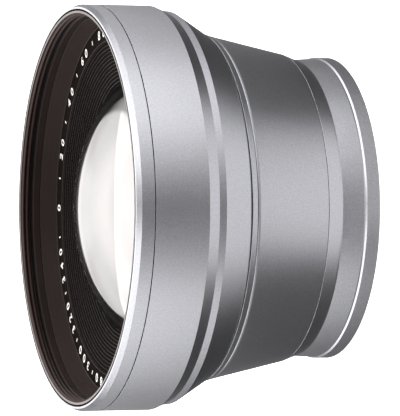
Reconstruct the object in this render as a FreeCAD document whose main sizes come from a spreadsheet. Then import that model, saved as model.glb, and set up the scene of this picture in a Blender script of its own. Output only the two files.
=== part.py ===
import FreeCAD, Part
import os
import Sketcher
from FreeCAD import Vector, Placement, Rotation

# Afocal tele conversion lens, optical axis on Z, front glass up.
# Origin: centre of the rear face, which is the face it stands on.

doc = FreeCAD.newDocument("tele_converter")
sheet = doc.addObject("Spreadsheet::Sheet", "dims")

# ---------------------------------------------------------------- driving sizes
SIZES = [
    # outer silhouette, levels measured up from the rear face
    ("overall_length", 46.08, "rear face to front rim"),
    ("band_radius", 35.00, "front band, the widest part"),
    ("front_seam_level", 42.88, "joint line between main barrel and front ring"),
    ("seam_bevel", 0.10, "bevel on both sides of each joint line"),
    ("front_bevel_level", 45.19, "start of the front outer bevel"),
    ("front_land_outer", 34.55, "outer radius of the flat front rim"),
    ("front_land_inner", 34.20, "inner radius of the flat front rim"),
    ("front_land_bevel_level", 46.03, "foot of the small bevel inside the rim"),
    ("sleeve_radius", 34.10, "outer radius of the threaded sleeve"),
    ("sleeve_face", 46.07, "front face of the sleeve"),
    ("sleeve_edge", 0.23, "bevelled outer edge of that face"),
    ("sleeve_shoulder", 43.25, "shoulder in the front ring that the sleeve rests on"),
    ("sleeve_neck", 33.70, "outer radius of the sleeve's neck"),
    ("sleeve_relief", 42.46, "floor of the seat round that neck"),
    ("filter_bore", 33.10, "crest radius of the 67 mm filter thread"),
    ("filter_mouth", 33.50, "mouth of that thread at the sleeve's face"),
    ("filter_bore_top", 45.69, "where the mouth bevel ends"),
    ("filter_thread_end", 44.35, "inner end of that thread"),
    ("relief_radius", 33.50, "root of the relief groove behind it"),
    ("relief_top", 44.30, "level where that root starts"),
    ("relief_foot", 43.80, "level where that root ends"),
    ("land_top", 43.65, "front end of the smooth land behind the groove"),
    ("filter_bore_floor", 42.50, "underside of the threaded lip"),
    ("front_spigot", 34.20, "outer radius of the ring's rear spigot"),
    ("front_spigot_bore", 33.45, "inner radius of that spigot"),
    ("front_spigot_end", 40.40, "rear end of that spigot"),
    ("band_bevel_level", 33.48, "rear end of the wide band"),
    ("collar_radius", 34.13, "narrow collar behind the band"),
    ("collar_front", 31.57, "front end of the collar"),
    ("collar_rear", 30.20, "rear end of the collar"),
    ("main_rear_level", 24.61, "joint line between the two barrels"),
    ("main_rear_radius", 30.72, "main barrel at that joint line"),
    ("main_rear_bevel_level", 24.82, "end of the small bevel there"),
    ("main_rear_face", 30.45, "outer radius of the main barrel's rear face"),
    ("spigot_gap", 0.05, "radial running gap of each screwed spigot"),
    ("main_front_bore_floor", 40.20, "floor of the front ring's seat"),
    ("name_seat_floor", 38.40, "floor of the name ring's seat"),
    ("main_bore", 32.20, "main barrel bore behind the name ring"),
    ("web_front", 33.20, "front face of the web that carries the front cell"),
    ("web_rear", 31.00, "rear face of that web"),
    ("web_bore", 25.30, "bore of that web"),
    ("main_rear_bore", 31.80, "main barrel bore behind the web"),
    ("rear_spigot", 29.20, "outer radius of the rear barrel's front spigot"),
    ("rear_spigot_end", 28.10, "front end of that spigot"),
    ("main_taper_level", 28.60, "where the bore widens behind the web"),
    ("main_taper_top", 30.20, "where that widening ends"),
    # rear barrel
    ("bead_front_radius", 30.38, "bead in front of the shallow cone"),
    ("bead_front_level", 24.25, "front end of the bead"),
    ("bead_rear_radius", 30.24, "rear edge of the bead"),
    ("bead_rear_level", 23.50, "rear end of the bead"),
    ("bead_root", 30.12, "root of the joint-line groove"),
    ("bead_root_level", 24.48, "rear edge of that groove"),
    ("cone_groove_radius", 29.84, "root of the fine groove behind the bead"),
    ("cone_groove_level", 23.29, "level of that root"),
    ("cone_front_radius", 30.08, "shallow cone, front end"),
    ("cone_front_level", 23.10, "level of that end"),
    ("cone_rear_radius", 27.07, "shallow cone, rear end"),
    ("cone_rear_level", 9.51, "joint line between rear barrel and mount ring"),
    ("rear_web_top", 12.00, "front face of the rear web"),
    ("rear_web_bore", 19.70, "bore of the rear web"),
    ("rear_bore_low", 25.50, "rear barrel bore above the web"),
    ("rear_bore_high", 28.00, "rear barrel bore inside the spigot"),
    ("rear_bore_high_level", 23.50, "where that bore starts"),
    # mount ring
    ("end_ring_radius", 26.41, "rearmost ring"),
    ("end_ring_round", 0.30, "broken edge at the rear face"),
    ("end_ring_level", 2.31, "front end of the rearmost ring"),
    ("end_groove_radius", 26.15, "root of the shallow groove"),
    ("end_groove_level", 2.62, "level of that root"),
    ("neck_rear_radius", 26.21, "neck, rear end"),
    ("neck_rear_level", 2.80, "level of that end"),
    ("neck_front_radius", 25.99, "neck, front end"),
    ("neck_front_level", 6.60, "level of that end"),
    ("flare_radius", 26.06, "foot of the flare"),
    ("flare_level", 6.90, "level of that foot"),
    ("mount_bore", 24.10, "crest radius of the 49 mm rear thread"),
    ("mount_bore_mouth", 24.60, "mouth of that thread at the rear face"),
    ("mount_mouth_level", 0.50, "depth of the mouth bevel"),
    ("mount_shoulder", 5.00, "shoulder that the mating thread stops on"),
    ("mount_flange_bore", 19.90, "bore of the inner flange"),
    # name ring
    ("name_ring_outer", 33.40, "outer radius of the name ring"),
    ("name_ring_top", 42.44, "top edge of its wall"),
    ("name_wall_top", 33.05, "inner radius of its wall at the top"),
    ("name_wall_foot", 32.25, "inner radius of its wall at the foot"),
    ("name_floor", 39.55, "flat annulus that carries the marks"),
    ("name_floor_inner", 29.05, "inner radius of that annulus"),
    ("rib_outer", 28.85, "radius of the outermost rib"),
    ("rib_outer_level", 39.33, "level of the outermost rib"),
    ("rib_inner", 21.50, "inner edge of the ribbed cone"),
    ("rib_inner_level", 36.98, "level of that edge"),
    ("rib_depth", 0.33, "depth of each rib"),
    ("rib_skin", 0.80, "thickness of the ribbed cone"),
    # front cell and its glass
    ("front_cell_rear", 30.40, "rear end of the front cell"),
    ("front_cell_lip", 21.90, "inner radius of its seating lip"),
    ("front_cell_seat", 31.96, "level of its seat"),
    ("front_cell_bore", 22.90, "bore around the second element"),
    ("front_cell_thread", 23.75, "bore that holds the retaining ring"),
    ("front_cell_front", 36.05, "front end of the front cell"),
    ("front_cell_body", 25.20, "outer radius of its body"),
    ("front_cell_flange", 29.60, "outer radius of its flange"),
    ("front_flange_top", 34.80, "front face of its flange"),
    ("front_retainer_inner", 21.60, "retaining ring bore"),
    ("front_retainer_outer", 23.70, "retaining ring thread radius"),
    ("front_retainer_rear", 35.32, "retaining ring rear face"),
    ("front_retainer_front", 36.00, "retaining ring front face"),
    ("front_glass_vertex", 44.70, "top of the front dome"),
    ("front_glass_curve", 35.00, "radius of the front dome"),
    ("front_glass_clear", 21.00, "edge of the dome"),
    ("front_glass_edge", 21.30, "edge radius of the front element"),
    ("front_glass_bevel", 37.35, "foot of its edge bevel"),
    ("cement_vertex", 33.20, "vertex of the cemented surface"),
    ("cement_curve", 110.0, "radius of the cemented surface"),
    ("cement_line", 0.01, "thickness of the cement, on each side"),
    ("second_glass_edge", 22.80, "edge radius of the second element"),
    ("second_glass_vertex", 30.80, "rear vertex of the second element"),
    ("second_glass_curve", 200.0, "rear radius of the second element"),
    # baffle tube between the two groups
    ("baffle_rear", 18.05, "rear end of the baffle tube"),
    ("baffle_front", 30.35, "front end of the baffle tube"),
    ("baffle_step_rise", 1.23, "height of each inner step"),
    ("baffle_step_run", 0.43, "width of each inner step"),
    ("baffle_inner", 16.60, "smallest inner radius"),
    ("baffle_rear_outer", 17.50, "outer radius in the rear cell"),
    ("baffle_cone_level", 18.95, "where the outer cone starts"),
    ("baffle_neck", 21.70, "outer radius under its flange"),
    ("baffle_flange", 22.80, "flange radius"),
    ("baffle_flange_rear", 29.75, "flange rear face"),
    # rear cell and its glass
    ("rear_cell_rear", 5.70, "rear end of the rear cell"),
    ("rear_cell_body", 19.60, "outer radius of its body"),
    ("rear_cell_thread", 17.65, "bore that holds its retaining ring"),
    ("rear_cell_thread_end", 7.62, "front end of that bore"),
    ("rear_cell_bore", 17.05, "bore around the rear glass"),
    ("rear_cell_stop", 17.11, "seat of the third element"),
    ("rear_cell_lip", 15.90, "inner radius of the front lip"),
    ("rear_cell_lip_front", 18.00, "front face of that lip"),
    ("rear_cell_counterbore", 17.55, "bore that takes the baffle tube"),
    ("rear_cell_front", 18.90, "front end of the rear cell"),
    ("rear_cell_flange", 24.00, "flange radius"),
    ("rear_flange_rear", 12.20, "flange rear face"),
    ("rear_flange_front", 13.40, "flange front face"),
    ("edge_break", 0.30, "small bevels on the cells"),
    ("shim_inner", 19.75, "shim bore"),
    ("shim_outer", 23.90, "shim radius"),
    ("rear_glass_edge", 17.00, "edge radius of both rear elements"),
    ("third_front_vertex", 16.00, "third element, front vertex"),
    ("third_front_curve", 120.0, "third element, front radius"),
    ("third_front_clear", 16.20, "third element, front aperture"),
    ("third_rear_vertex", 13.80, "third element, rear vertex"),
    ("third_rear_curve", 60.0, "third element, rear radius"),
    ("third_rear_clear", 15.60, "third element, rear aperture"),
    ("spacer_inner", 15.95, "spacer bore"),
    ("spacer_rear", 10.74, "spacer rear face"),
    ("spacer_front", 11.71, "spacer front face"),
    ("last_front_vertex", 12.70, "rear element, front vertex"),
    ("last_front_curve", 65.0, "rear element, front radius"),
    ("last_rear_vertex", 8.90, "rear element, rear vertex"),
    ("last_rear_curve", 95.0, "rear element, rear radius"),
    ("last_rear_clear", 15.60, "rear element, rear aperture"),
    ("rear_retainer_inner", 15.40, "rear retaining ring bore"),
    ("rear_retainer_outer", 17.60, "rear retaining ring thread radius"),
    ("rear_retainer_rear", 6.20, "its rear face"),
    ("rear_retainer_front", 7.58, "its front face"),
    ("rear_retainer_bevel", 0.70, "bevel at its mouth"),
    ("spanner_slot", 1.60, "width of the spanner slots"),
    ("front_slot_depth", 0.40, "their depth, front ring"),
    ("rear_slot_depth", 0.50, "their depth, rear ring"),
    # screws
    ("front_screw_circle", 27.40, "front cell screws, circle radius"),
    ("front_screw_hole", 1.06, "clearance hole in the flange"),
    ("front_screw_tap", 1.00, "hole in the web"),
    ("front_screw_shank", 0.98, "shank radius"),
    ("front_screw_head", 1.60, "head radius"),
    ("front_screw_head_height", 1.10, "head height"),
    ("front_screw_length", 3.40, "shank length"),
    ("rear_screw_circle", 21.80, "rear cell screws, circle radius"),
    ("rear_screw_hole", 0.86, "clearance hole in flange and shim"),
    ("rear_screw_tap", 0.80, "hole in the web"),
    ("rear_screw_shank", 0.78, "shank radius"),
    ("rear_screw_head", 1.35, "head radius"),
    ("rear_screw_head_height", 0.90, "head height"),
    ("rear_screw_length", 3.00, "shank length"),
    ("mount_screw_circle", 22.00, "mount ring screws, circle radius"),
    ("mount_screw_head", 1.70, "countersunk head radius"),
    ("mount_screw_head_height", 0.95, "head height"),
    ("mount_screw_shank", 0.93, "shank radius"),
    ("mount_screw_hole", 1.00, "clearance hole"),
    ("mount_screw_tap", 0.95, "hole in the rear web"),
    ("mount_screw_tap_end", 11.70, "end of that hole"),
    ("mount_screw_end", 11.30, "tip of the screw"),
    ("mount_screw_flush", 0.04, "head sits this far inside the face"),
    ("head_play", 0.06, "gap around the countersunk head"),
    ("recess_width", 0.42, "width of the cross recess"),
    ("recess_span", 1.90, "length of the cross recess"),
    ("recess_depth", 0.60, "depth of the cross recess"),
    ("tip_bevel", 0.20, "bevel on the shank tips"),
]
RIBS = 13          # ribs on the cone
STEPS = 10         # steps inside the baffle tube

for i, (alias, value, note) in enumerate(SIZES):
    row = i + 1
    sheet.set("A%d" % row, note)
    sheet.set("B%d" % row, repr(float(value)))
    sheet.setAlias("B%d" % row, alias)
doc.recompute()
VALUE = {alias: float(value) for alias, value, note in SIZES}


class Size:
    """A length that carries its value and the expression that drives it."""

    def __init__(self, value, text):
        self.value = float(value)
        self.text = text

    def join(self, other, sign, flip=False):
        o = other if isinstance(other, Size) else Size(other, repr(float(other)))
        a, b = (o, self) if flip else (self, o)
        value = {"+": a.value + b.value, "-": a.value - b.value, "*": a.value * b.value}[sign]
        return Size(value, "(%s %s %s)" % (a.text, sign, b.text))

    def __add__(self, other):
        return self.join(other, "+")

    def __radd__(self, other):
        return self.join(other, "+", True)

    def __sub__(self, other):
        return self.join(other, "-")

    def __rsub__(self, other):
        return self.join(other, "-", True)

    def __mul__(self, other):
        return self.join(other, "*")

    def __rmul__(self, other):
        return self.join(other, "*", True)


class Table:
    def __getattr__(self, alias):
        return Size(VALUE[alias], "dims." + alias)


D = Table()
ZERO = Size(0.0, "0")


# ---------------------------------------------------------------- sketch helpers
def origin_part(body, role):
    for feature in body.Origin.OriginFeatures:
        if feature.Role == role:
            return feature
    raise ValueError(role)


def new_sketch(body, name, role, offset=None):
    sketch = body.newObject("Sketcher::SketchObject", name)
    sketch.AttachmentSupport = [(origin_part(body, role), "")]
    sketch.MapMode = "FlatFace"
    if offset is not None:
        sketch.AttachmentOffset = offset
    return sketch


def pin(sketch, geo, pos, x, y):
    """Fix a point of the sketch at two driven coordinates. None leaves one free."""
    if x is not None:
        if abs(x.value) < 1e-9:
            sketch.addConstraint(Sketcher.Constraint("PointOnObject", geo, pos, -2))
        else:
            n = sketch.addConstraint(Sketcher.Constraint("DistanceX", -1, 1, geo, pos, x.value))
            sketch.setExpression("Constraints[%d]" % n, x.text)
    if y is not None:
        if abs(y.value) < 1e-9:
            sketch.addConstraint(Sketcher.Constraint("PointOnObject", geo, pos, -1))
        else:
            n = sketch.addConstraint(Sketcher.Constraint("DistanceY", -1, 1, geo, pos, y.value))
            sketch.setExpression("Constraints[%d]" % n, y.text)


def outline(sketch, points):
    """Closed polygon through driven points."""
    n = len(points)
    ids = []
    for i in range(n):
        a, b = points[i], points[(i + 1) % n]
        ids.append(sketch.addGeometry(Part.LineSegment(
            Vector(a[0].value, a[1].value, 0), Vector(b[0].value, b[1].value, 0)), False))
    for i in range(n):
        sketch.addConstraint(Sketcher.Constraint("Coincident", ids[i], 2, ids[(i + 1) % n], 1))
    for i in range(n):
        pin(sketch, ids[i], 1, points[i][0], points[i][1])
    return ids


def own_axis(sketch, radius):
    """Construction line parallel to the optical axis at a driven radius."""
    line = sketch.addGeometry(Part.LineSegment(
        Vector(radius.value, 0, 0), Vector(radius.value, 5, 0)), True)
    pin(sketch, line, 1, radius, ZERO)
    sketch.addConstraint(Sketcher.Constraint("Vertical", line))
    n = sketch.addConstraint(Sketcher.Constraint("DistanceY", line, 1, line, 2, 5.0))
    return line


def new_body(label, compound=False):
    body = doc.addObject("PartDesign::Body", label)
    body.Label = label
    if compound:
        body.AllowCompound = True
    return body


def turned(label, points):
    """A piece turned about the optical axis from one closed section."""
    body = new_body(label)
    sketch = new_sketch(body, label + "_section", "XZ_Plane")
    outline(sketch, points)
    turn = body.newObject("PartDesign::Revolution", label + "_turned")
    turn.Profile = sketch
    turn.ReferenceAxis = (sketch, ["V_Axis"])
    turn.Angle = 360
    body.Tip = turn
    doc.recompute()
    return body


def volume(body):
    return body.Shape.Volume


def must_cut(body, before, what):
    doc.recompute()
    if not volume(body) < before - 1e-4:
        raise RuntimeError(what + " removed nothing")


def ring_of(body, feature_name, originals, count):
    pattern = body.newObject("PartDesign::PolarPattern", feature_name)
    pattern.Originals = originals
    pattern.Axis = (origin_part(body, "Z_Axis"), [""])
    pattern.Angle = 360
    pattern.Occurrences = count
    body.Tip = pattern
    doc.recompute()
    return pattern


def bored(body, name, circle, section, count, azimuth=0.0):
    """Holes turned about axes parallel to Z, spread evenly on a circle."""
    before = volume(body)
    offset = Placement(Vector(0, 0, 0), Rotation(Vector(0, 1, 0), azimuth))
    sketch = new_sketch(body, name + "_section", "XZ_Plane", offset)
    outline(sketch, section)
    own_axis(sketch, circle)
    cut = body.newObject("PartDesign::Groove", name)
    cut.Profile = sketch
    cut.ReferenceAxis = (sketch, ["Axis0"])
    cut.Angle = 360
    body.Tip = cut
    must_cut(body, before, name)
    after_one = volume(body)
    ring_of(body, name + "_ring", [cut], count)
    expected = before - count * (before - after_one)
    if abs(volume(body) - expected) > 0.02 * abs(before - after_one) * count:
        raise RuntimeError(name + " pattern is incomplete")


def hole_section(circle, radius, low, high):
    return [(circle, low), (circle + radius, low), (circle + radius, high), (circle, high)]


def slotted(body, name, level, half_length, half_width, depth, upwards):
    """A straight cut right across a ring, which leaves two spanner slots."""
    before = volume(body)
    sketch = new_sketch(body, name + "_plan", "XY_Plane",
                        Placement(Vector(0, 0, level.value), Rotation()))
    sketch.setExpression("AttachmentOffset.Base.z", level.text)
    corners = [(-1.0, -1.0), (1.0, -1.0), (1.0, 1.0), (-1.0, 1.0)]
    outline(sketch, [(half_length * cx, half_width * cy) for cx, cy in corners])
    cut = body.newObject("PartDesign::Pocket", name)
    cut.Profile = sketch
    cut.Type = "Length"
    cut.Length = depth.value
    cut.setExpression("Length", depth.text)
    cut.Reversed = upwards
    body.Tip = cut
    must_cut(body, before, name)


def lens(label, rear, edge, front):
    """A glass element. rear and front are (vertex, curve, aperture, bulges_up); edge lists
    the points between the two apertures, where "rear" or "front" keeps that surface's level."""
    body = new_body(label)
    sketch = new_sketch(body, label + "_section", "XZ_Plane")

    def surface(vertex, curve, aperture, bulges_up):
        r, a = curve.value, aperture.value
        centre = vertex.value - r if bulges_up else vertex.value + r
        side = 1.0 if bulges_up else -1.0
        end = Vector(a, centre + side * (r * r - a * a) ** 0.5, 0)
        mid = Vector(a * 0.5, centre + side * (r * r - a * a * 0.25) ** 0.5, 0)
        top = Vector(0, vertex.value, 0)
        first, last = (end, top) if bulges_up else (top, end)
        arc = Part.Arc(first, mid, last)
        geo = sketch.addGeometry(arc, False)
        g = sketch.Geometry[geo]
        at_start = (g.StartPoint - top).Length < 1e-6
        at_top, at_end = (1, 2) if at_start else (2, 1)
        sketch.addConstraint(Sketcher.Constraint("PointOnObject", geo, 3, -2))
        n = sketch.addConstraint(Sketcher.Constraint("Radius", geo, r))
        sketch.setExpression("Constraints[%d]" % n, curve.text)
        pin(sketch, geo, at_top, ZERO, vertex)
        pin(sketch, geo, at_end, aperture, None)
        return geo, at_top, at_end, end

    g0, top0, end0, p0 = surface(*rear)
    g1, top1, end1, p1 = surface(*front)
    axis = sketch.addGeometry(Part.LineSegment(
        Vector(0, rear[0].value, 0), Vector(0, front[0].value, 0)), False)
    sketch.addConstraint(Sketcher.Constraint("Coincident", axis, 1, g0, top0))
    sketch.addConstraint(Sketcher.Constraint("Coincident", axis, 2, g1, top1))
    flat_at = {"rear": p0.y, "front": p1.y}
    places = [p0]
    for radius, level in edge:
        places.append(Vector(radius.value, flat_at[level] if level in flat_at else level.value, 0))
    places.append(p1)
    lines = []
    for a, b in zip(places[:-1], places[1:]):
        lines.append(sketch.addGeometry(Part.LineSegment(a, b), False))
    sketch.addConstraint(Sketcher.Constraint("Coincident", lines[0], 1, g0, end0))
    sketch.addConstraint(Sketcher.Constraint("Coincident", lines[-1], 2, g1, end1))
    for i in range(len(lines) - 1):
        sketch.addConstraint(Sketcher.Constraint("Coincident", lines[i], 2, lines[i + 1], 1))
        radius, level = edge[i]
        pin(sketch, lines[i], 2, radius, None if level in flat_at else level)
        if level in flat_at:
            flat = lines[i] if level == "rear" else lines[i + 1]
            sketch.addConstraint(Sketcher.Constraint("Horizontal", flat))
    turn = body.newObject("PartDesign::Revolution", label + "_ground")
    turn.Profile = sketch
    turn.ReferenceAxis = (sketch, ["V_Axis"])
    turn.Angle = 360
    body.Tip = turn
    doc.recompute()
    return body


def screws(label, circle, section, recess_level, upwards, count, azimuth=0.0):
    """Identical screws on a circle: turned blank, cross recess, then the ring of copies."""
    body = new_body(label, compound=True)
    sketch = new_sketch(body, label + "_section", "XZ_Plane")
    outline(sketch, section)
    own_axis(sketch, circle)
    blank = body.newObject("PartDesign::Revolution", label + "_blank")
    blank.Profile = sketch
    blank.ReferenceAxis = (sketch, ["Axis0"])
    blank.Angle = 360
    body.Tip = blank
    doc.recompute()
    before = volume(body)
    plan = new_sketch(body, label + "_recess_plan", "XY_Plane",
                      Placement(Vector(0, 0, recess_level.value), Rotation()))
    plan.setExpression("AttachmentOffset.Base.z", recess_level.text)
    w, s = D.recess_width * 0.5, D.recess_span * 0.5
    cross = [(-1, "s", -1, "w"), (-1, "w", -1, "w"), (-1, "w", -1, "s"), (1, "w", -1, "s"),
             (1, "w", -1, "w"), (1, "s", -1, "w"), (1, "s", 1, "w"), (1, "w", 1, "w"),
             (1, "w", 1, "s"), (-1, "w", 1, "s"), (-1, "w", 1, "w"), (-1, "s", 1, "w")]
    pick = {"w": w, "s": s}
    outline(plan, [(circle + pick[kx] * float(sx), pick[ky] * float(sy)) for sx, kx, sy, ky in cross])
    cut = body.newObject("PartDesign::Pocket", label + "_recess")
    cut.Profile = plan
    cut.Type = "Length"
    cut.Length = D.recess_depth.value
    cut.setExpression("Length", D.recess_depth.text)
    cut.Reversed = upwards
    body.Tip = cut
    must_cut(body, before, label + " recess")
    ring_of(body, label + "_ring", [blank, cut], count)
    body.Placement = Placement(Vector(0, 0, 0), Rotation(Vector(0, 0, 1), azimuth))
    doc.recompute()
    if len(body.Shape.Solids) != count:
        raise RuntimeError(label + " has %d solids" % len(body.Shape.Solids))
    return body


parts = []

# ---------------------------------------------------------------- outer shell
b = D.seam_bevel
g = D.spigot_gap
parts.append(turned("front_filter_ring", [
    (D.sleeve_radius + g, D.sleeve_shoulder), (D.sleeve_radius + g, D.front_land_bevel_level),
    (D.front_land_inner, D.overall_length), (D.front_land_outer, D.overall_length),
    (D.band_radius, D.front_bevel_level), (D.band_radius, D.front_seam_level + b),
    (D.band_radius - b, D.front_seam_level), (D.front_spigot, D.front_seam_level),
    (D.front_spigot, D.front_spigot_end), (D.front_spigot_bore, D.front_spigot_end),
    (D.front_spigot_bore, D.sleeve_relief), (D.sleeve_neck + g, D.sleeve_relief),
    (D.sleeve_neck + g, D.sleeve_shoulder)]))

parts.append(turned("front_thread_sleeve", [
    (D.filter_bore, D.filter_bore_floor), (D.filter_bore, D.land_top),
    (D.relief_radius, D.relief_foot), (D.relief_radius, D.relief_top),
    (D.filter_bore, D.filter_thread_end), (D.filter_bore, D.filter_bore_top),
    (D.filter_mouth, D.sleeve_face), (D.sleeve_radius - D.sleeve_edge, D.sleeve_face),
    (D.sleeve_radius, D.sleeve_face - D.sleeve_edge), (D.sleeve_radius, D.sleeve_shoulder),
    (D.sleeve_neck, D.sleeve_shoulder), (D.sleeve_neck, D.filter_bore_floor)]))

main_barrel = turned("main_barrel", [
    (D.main_rear_face, D.main_rear_level), (D.main_rear_radius, D.main_rear_bevel_level),
    (D.collar_radius, D.collar_rear), (D.collar_radius, D.collar_front),
    (D.band_radius, D.band_bevel_level), (D.band_radius, D.front_seam_level - b),
    (D.band_radius - b, D.front_seam_level), (D.front_spigot + D.spigot_gap, D.front_seam_level),
    (D.front_spigot + D.spigot_gap, D.main_front_bore_floor),
    (D.name_ring_outer + D.spigot_gap, D.main_front_bore_floor),
    (D.name_ring_outer + D.spigot_gap, D.name_seat_floor), (D.main_bore, D.name_seat_floor),
    (D.main_bore, D.web_front), (D.web_bore, D.web_front), (D.web_bore, D.web_rear),
    (D.main_rear_bore, D.web_rear), (D.main_rear_bore, D.main_taper_top),
    (D.rear_spigot + D.spigot_gap, D.main_taper_level),
    (D.rear_spigot + D.spigot_gap, D.main_rear_level)])
bored(main_barrel, "front_screw_taps", D.front_screw_circle,
      hole_section(D.front_screw_circle, D.front_screw_tap, D.web_rear - 0.5, D.web_front + 0.5), 3)
parts.append(main_barrel)

rear_barrel = turned("rear_barrel", [
    (D.rear_web_bore, D.cone_rear_level), (D.cone_rear_radius - b, D.cone_rear_level),
    (D.cone_rear_radius, D.cone_rear_level + b), (D.cone_front_radius, D.cone_front_level),
    (D.cone_groove_radius, D.cone_groove_level), (D.bead_rear_radius, D.bead_rear_level),
    (D.bead_front_radius, D.bead_front_level), (D.bead_root, D.bead_root_level),
    (D.bead_root, D.main_rear_level), (D.rear_spigot, D.main_rear_level),
    (D.rear_spigot, D.rear_spigot_end), (D.rear_bore_high, D.rear_spigot_end),
    (D.rear_bore_high, D.rear_bore_high_level), (D.rear_bore_low, D.rear_web_top),
    (D.rear_web_bore, D.rear_web_top)])
bored(rear_barrel, "rear_screw_taps", D.rear_screw_circle,
      hole_section(D.rear_screw_circle, D.rear_screw_tap, D.cone_rear_level + 0.45, D.rear_web_top + 0.5), 3)
bored(rear_barrel, "mount_screw_taps", D.mount_screw_circle,
      hole_section(D.mount_screw_circle, D.mount_screw_tap, D.cone_rear_level - 0.5,
                   D.mount_screw_tap_end), 4, 45.0)
parts.append(rear_barrel)

mount_ring = turned("rear_mount_ring", [
    (D.mount_bore_mouth, ZERO), (D.end_ring_radius - D.end_ring_round, ZERO),
    (D.end_ring_radius, D.end_ring_round), (D.end_ring_radius, D.end_ring_level),
    (D.end_groove_radius, D.end_groove_level), (D.neck_rear_radius, D.neck_rear_level),
    (D.neck_front_radius, D.neck_front_level), (D.flare_radius, D.flare_level),
    (D.cone_rear_radius, D.cone_rear_level - b), (D.cone_rear_radius - b, D.cone_rear_level),
    (D.mount_flange_bore, D.cone_rear_level), (D.mount_flange_bore, D.mount_shoulder),
    (D.mount_bore, D.mount_shoulder), (D.mount_bore, D.mount_mouth_level)])
c = D.mount_screw_circle
hr = D.mount_screw_head + D.head_play
hh = D.mount_screw_head_height + D.mount_screw_flush + D.head_play
bored(mount_ring, "mount_screw_seats", c, [
    (c, D.mount_shoulder - 0.5), (c + hr, D.mount_shoulder - 0.5), (c + hr, D.mount_shoulder),
    (c + D.mount_screw_hole, D.mount_shoulder + hh),
    (c + D.mount_screw_hole, D.cone_rear_level + 0.5), (c, D.cone_rear_level + 0.5)], 4, 45.0)
parts.append(mount_ring)

# ---------------------------------------------------------------- name ring with its ribbed cone
rib_pitch = (D.rib_outer - D.rib_inner) * (1.0 / RIBS)
rib_drop = (D.rib_outer_level - D.rib_inner_level) * (1.0 / RIBS)
name_ring = [(D.name_wall_top, D.name_ring_top), (D.name_wall_foot, D.name_floor),
             (D.name_floor_inner, D.name_floor)]
for i in range(RIBS):
    name_ring.append((D.rib_outer - rib_pitch * float(i), D.rib_outer_level - rib_drop * float(i)))
    name_ring.append((D.rib_outer - rib_pitch * (i + 0.30),
                      D.rib_outer_level - rib_drop * (i + 0.30) - D.rib_depth))
name_ring += [(D.rib_inner, D.rib_inner_level), (D.rib_inner, D.rib_inner_level - D.rib_skin),
              (D.rib_outer - 0.40, D.name_seat_floor), (D.name_ring_outer, D.name_seat_floor),
              (D.name_ring_outer, D.name_ring_top)]
parts.append(turned("front_name_ring", name_ring))

# ---------------------------------------------------------------- front group
front_cell = turned("front_cell", [
    (D.front_cell_lip, D.front_cell_rear), (D.front_cell_lip, D.front_cell_seat),
    (D.front_cell_bore, D.front_cell_seat), (D.front_cell_bore, D.front_retainer_rear - 0.04),
    (D.front_cell_thread, D.front_retainer_rear - 0.04), (D.front_cell_thread, D.front_cell_front),
    (D.front_cell_body, D.front_cell_front), (D.front_cell_body, D.front_flange_top),
    (D.front_cell_flange, D.front_flange_top), (D.front_cell_flange, D.web_front),
    (D.front_cell_body, D.web_front), (D.front_cell_body, D.front_cell_rear)])
bored(front_cell, "front_flange_holes", D.front_screw_circle,
      hole_section(D.front_screw_circle, D.front_screw_hole, D.web_front - 0.5, D.front_flange_top + 0.5), 3)
parts.append(front_cell)

front_retainer = turned("front_retaining_ring", [
    (D.front_retainer_inner, D.front_retainer_rear), (D.front_retainer_outer, D.front_retainer_rear),
    (D.front_retainer_outer, D.front_retainer_front), (D.front_retainer_inner, D.front_retainer_front)])
slotted(front_retainer, "front_spanner_slots", D.front_retainer_front, D.front_retainer_outer + 1.0,
        D.spanner_slot * 0.5, D.front_slot_depth, False)
parts.append(front_retainer)

parts.append(lens("front_lens_element",
                  (D.cement_vertex + D.cement_line, D.cement_curve, D.front_glass_edge, False),
                  [(D.front_glass_edge, D.front_glass_bevel)],
                  (D.front_glass_vertex, D.front_glass_curve, D.front_glass_clear, True)))
parts.append(lens("second_lens_element",
                  (D.second_glass_vertex, D.second_glass_curve, D.second_glass_edge, False),
                  [(D.second_glass_edge, "front")],
                  (D.cement_vertex - D.cement_line, D.cement_curve, D.front_glass_edge, False)))

steps = []
for i in range(STEPS):
    r = D.baffle_inner + D.baffle_step_run * float(i)
    steps.append((r, D.baffle_rear + D.baffle_step_rise * float(i)))
    steps.append((r, D.baffle_rear + D.baffle_step_rise * float(i + 1)))
steps[-1] = (steps[-1][0], D.baffle_front)
parts.append(turned("light_baffle_tube", steps + [
    (D.baffle_flange, D.baffle_front), (D.baffle_flange, D.baffle_flange_rear),
    (D.baffle_neck, D.baffle_flange_rear), (D.baffle_rear_outer, D.baffle_cone_level),
    (D.baffle_rear_outer, D.baffle_rear)]))

# ---------------------------------------------------------------- rear group
e = D.edge_break
rear_cell = turned("rear_cell", [
    (D.rear_cell_thread + e, D.rear_cell_rear), (D.rear_cell_body - e, D.rear_cell_rear),
    (D.rear_cell_body, D.rear_cell_rear + e), (D.rear_cell_body, D.rear_flange_rear),
    (D.rear_cell_flange, D.rear_flange_rear), (D.rear_cell_flange, D.rear_flange_front),
    (D.rear_cell_body, D.rear_flange_front), (D.rear_cell_body, D.rear_cell_front),
    (D.rear_cell_counterbore, D.rear_cell_front), (D.rear_cell_counterbore, D.rear_cell_lip_front),
    (D.rear_cell_lip, D.rear_cell_lip_front), (D.rear_cell_lip, D.rear_cell_stop),
    (D.rear_cell_bore, D.rear_cell_stop), (D.rear_cell_bore, D.rear_cell_thread_end),
    (D.rear_cell_thread, D.rear_cell_thread_end), (D.rear_cell_thread, D.rear_cell_rear + e)])
bored(rear_cell, "rear_flange_holes", D.rear_screw_circle,
      hole_section(D.rear_screw_circle, D.rear_screw_hole, D.rear_flange_rear - 0.5,
                   D.rear_flange_front + 0.5), 3)
parts.append(rear_cell)

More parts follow.
